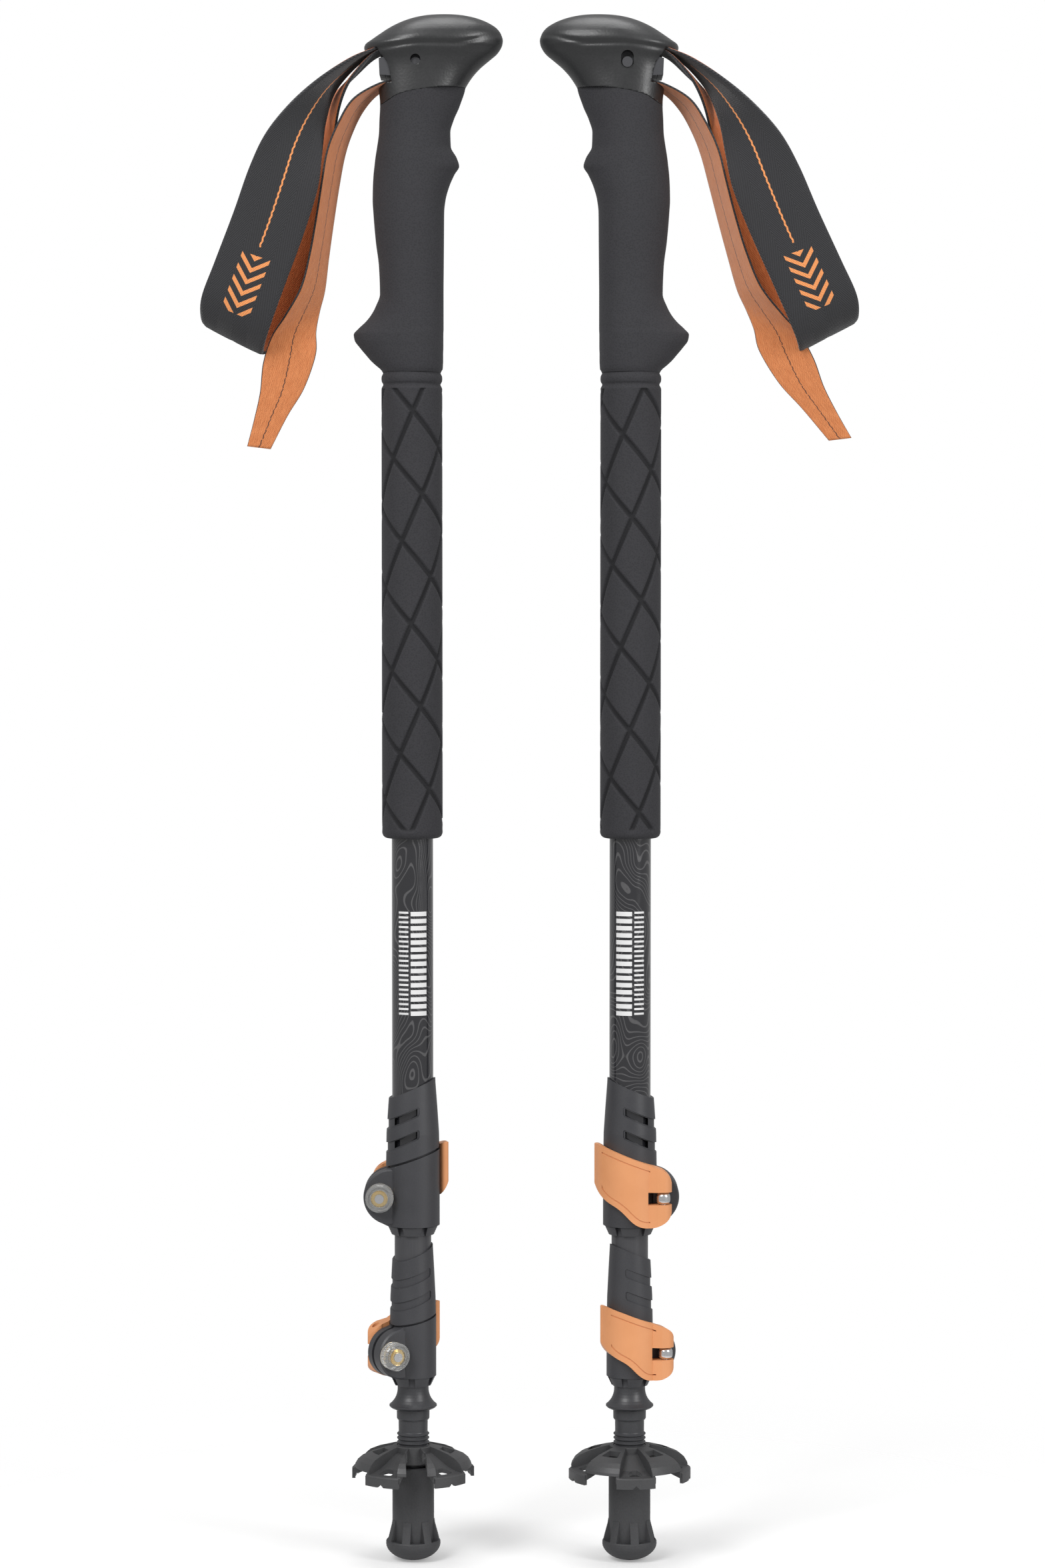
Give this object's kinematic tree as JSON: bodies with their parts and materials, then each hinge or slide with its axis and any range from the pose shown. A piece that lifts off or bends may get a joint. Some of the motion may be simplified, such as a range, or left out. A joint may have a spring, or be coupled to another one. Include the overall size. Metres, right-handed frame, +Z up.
{
  "type": "trekking poles",
  "caption": "Pair of collapsed three-section trekking poles with lever locks, contoured foam grips, wrist straps, baskets and rubber feet",
  "frame": {"origin": "on the ground midway between the two pole axes", "axes": "+Z up along the poles, X from the left pole to the right pole, -Y towards the viewer; thumb nut of the left pole's upper lock faces -Y"},
  "size_m": [0.283, 0.0536, 0.673],
  "materials": {
    "head": "satin rubberised plastic with a fine leather grain",
    "foam": "matt closed-cell foam",
    "tube_gloss": "gloss black lacquer with thin grey contour lines",
    "tube_dark": "dark satin anodised",
    "lock": "fine matt moulded grain",
    "lever": "orange, fine matt grain",
    "clear": "clear moulded, knurled rim",
    "brass": "turned",
    "steel": "bright zinc",
    "plug": "moulded",
    "ferrule": "moulded",
    "carbide": "sintered",
    "basket": "fine matt grain",
    "rubber": "moulded",
    "webbing": "black herringbone webbing, orange inside and centre stitch"
  },
  "bodies": {
    "left_upper": {"left_grip_head": "head", "left_grip_foam": "foam", "left_extension_foam": "foam", "left_upper_shaft": "tube_gloss", "left_upper_lock_sleeve": "lock", "left_upper_lock_band": "lock", "left_upper_lock_bolt": "steel", "left_upper_lock_barrel": "steel"},
    "left_strap_lock": {"left_strap_wedge": "lock", "left_strap_pin": "steel"},
    "left_strap": {"left_wrist_strap": "webbing"},
    "left_upper_lever": {"left_upper_lock_lever": "lever"},
    "left_upper_nut": {"left_upper_lock_nut": "clear", "left_upper_lock_nut_insert": "brass"},
    "left_middle": {"left_middle_shaft": "tube_dark", "left_middle_end_plug": "plug", "left_lower_lock_sleeve": "lock", "left_lower_lock_band": "lock", "left_lower_lock_bolt": "steel", "left_lower_lock_barrel": "steel"},
    "left_lower_lever": {"left_lower_lock_lever": "lever"},
    "left_lower_nut": {"left_lower_lock_nut": "clear", "left_lower_lock_nut_insert": "brass"},
    "left_lower": {"left_lower_shaft": "tube_dark", "left_lower_end_plug": "plug", "left_tip_ferrule": "ferrule", "left_carbide_tip": "carbide"},
    "left_basket": {"left_basket": "basket"},
    "left_foot": {"left_rubber_foot": "rubber"},
    "right_upper": {"right_grip_head": "head", "right_grip_foam": "foam", "right_extension_foam": "foam", "right_upper_shaft": "tube_gloss", "right_upper_lock_sleeve": "lock", "right_upper_lock_band": "lock", "right_upper_lock_bolt": "steel", "right_upper_lock_barrel": "steel"},
    "right_strap_lock": {"right_strap_wedge": "lock", "right_strap_pin": "steel"},
    "right_strap": {"right_wrist_strap": "webbing"},
    "right_upper_lever": {"right_upper_lock_lever": "lever"},
    "right_upper_nut": {"right_upper_lock_nut": "clear", "right_upper_lock_nut_insert": "brass"},
    "right_middle": {"right_middle_shaft": "tube_dark", "right_middle_end_plug": "plug", "right_lower_lock_sleeve": "lock", "right_lower_lock_band": "lock", "right_lower_lock_bolt": "steel", "right_lower_lock_barrel": "steel"},
    "right_lower_lever": {"right_lower_lock_lever": "lever"},
    "right_lower_nut": {"right_lower_lock_nut": "clear", "right_lower_lock_nut_insert": "brass"},
    "right_lower": {"right_lower_shaft": "tube_dark", "right_lower_end_plug": "plug", "right_tip_ferrule": "ferrule", "right_carbide_tip": "carbide"},
    "right_basket": {"right_basket": "basket"},
    "right_foot": {"right_rubber_foot": "rubber"}
  },
  "joints": [
    {"name": "right_pole_apart", "type": "slide", "parent": "left_upper", "child": "right_upper", "axis": [1, 0, 0], "range_m": [0, 0.3]},
    {"name": "left_strap_lock_slide", "type": "slide", "parent": "left_upper", "child": "left_strap_lock", "axis": [0, 0, 1], "range_m": [0, 0.0026]},
    {"name": "left_strap_swing", "type": "hinge", "parent": "left_upper", "child": "left_strap", "pos_m": [-0.0701, 0, 0.648], "axis": [0, 1, 0], "range_deg": [-5, 45]},
    {"name": "left_upper_lever_open", "type": "hinge", "parent": "left_upper", "child": "left_upper_lever", "pos_m": [-0.0618, 0.0102, 0.1605], "axis": [0, 0, 1], "range_deg": [0, 125]},
    {"name": "left_upper_nut_turn", "type": "hinge", "parent": "left_upper", "child": "left_upper_nut", "pos_m": [-0.0618, -0.0106, 0.1605], "axis": [0, 1, 0], "continuous": true},
    {"name": "left_middle_extend", "type": "slide", "parent": "left_upper", "child": "left_middle", "axis": [0, 0, -1], "range_m": [0, 0.339]},
    {"name": "left_lower_lever_open", "type": "hinge", "parent": "left_middle", "child": "left_lower_lever", "pos_m": [-0.06393, 0.00236, 0.0918], "axis": [0, 0, 1], "range_deg": [0, 125]},
    {"name": "left_lower_nut_turn", "type": "hinge", "parent": "left_middle", "child": "left_lower_nut", "pos_m": [-0.05482, -0.01477, 0.0918], "axis": [-0.4695, 0.8829, 0], "continuous": true},
    {"name": "left_lower_extend", "type": "slide", "parent": "left_middle", "child": "left_lower", "axis": [0, 0, -1], "range_m": [0, 0.339]},
    {"name": "left_basket_turn", "type": "hinge", "parent": "left_lower", "child": "left_basket", "pos_m": [-0.0475, 0, 0.046], "axis": [0, 0, 1], "range_deg": [0, 540]},
    {"name": "left_foot_pull_off", "type": "slide", "parent": "left_lower", "child": "left_foot", "axis": [0, 0, -1], "range_m": [0, 0.05]},
    {"name": "right_strap_lock_slide", "type": "slide", "parent": "right_upper", "child": "right_strap_lock", "axis": [0, 0, 1], "range_m": [0, 0.0026]},
    {"name": "right_strap_swing", "type": "hinge", "parent": "right_upper", "child": "right_strap", "pos_m": [0.0701, 0, 0.648], "axis": [0, -1, 0], "range_deg": [-5, 45]},
    {"name": "right_upper_lever_open", "type": "hinge", "parent": "right_upper", "child": "right_upper_lever", "pos_m": [0.0618, -0.0102, 0.1605], "axis": [0, 0, 1], "range_deg": [0, 125]},
    {"name": "right_upper_nut_turn", "type": "hinge", "parent": "right_upper", "child": "right_upper_nut", "pos_m": [0.0618, 0.0106, 0.1605], "axis": [0, -1, 0], "continuous": true},
    {"name": "right_middle_extend", "type": "slide", "parent": "right_upper", "child": "right_middle", "axis": [0, 0, -1], "range_m": [0, 0.339]},
    {"name": "right_lower_lever_open", "type": "hinge", "parent": "right_middle", "child": "right_lower_lever", "pos_m": [0.06298, -0.006, 0.0918], "axis": [0, 0, 1], "range_deg": [0, 125]},
    {"name": "right_lower_nut_turn", "type": "hinge", "parent": "right_middle", "child": "right_lower_nut", "pos_m": [0.05796, 0.01274, 0.0918], "axis": [0.2588, -0.9659, 0], "continuous": true},
    {"name": "right_lower_extend", "type": "slide", "parent": "right_middle", "child": "right_lower", "axis": [0, 0, -1], "range_m": [0, 0.339]},
    {"name": "right_basket_turn", "type": "hinge", "parent": "right_lower", "child": "right_basket", "pos_m": [0.0475, 0, 0.046], "axis": [0, 0, 1], "range_deg": [0, 540]},
    {"name": "right_foot_pull_off", "type": "slide", "parent": "right_lower", "child": "right_foot", "axis": [0, 0, -1], "range_m": [0, 0.05]}
  ]
}
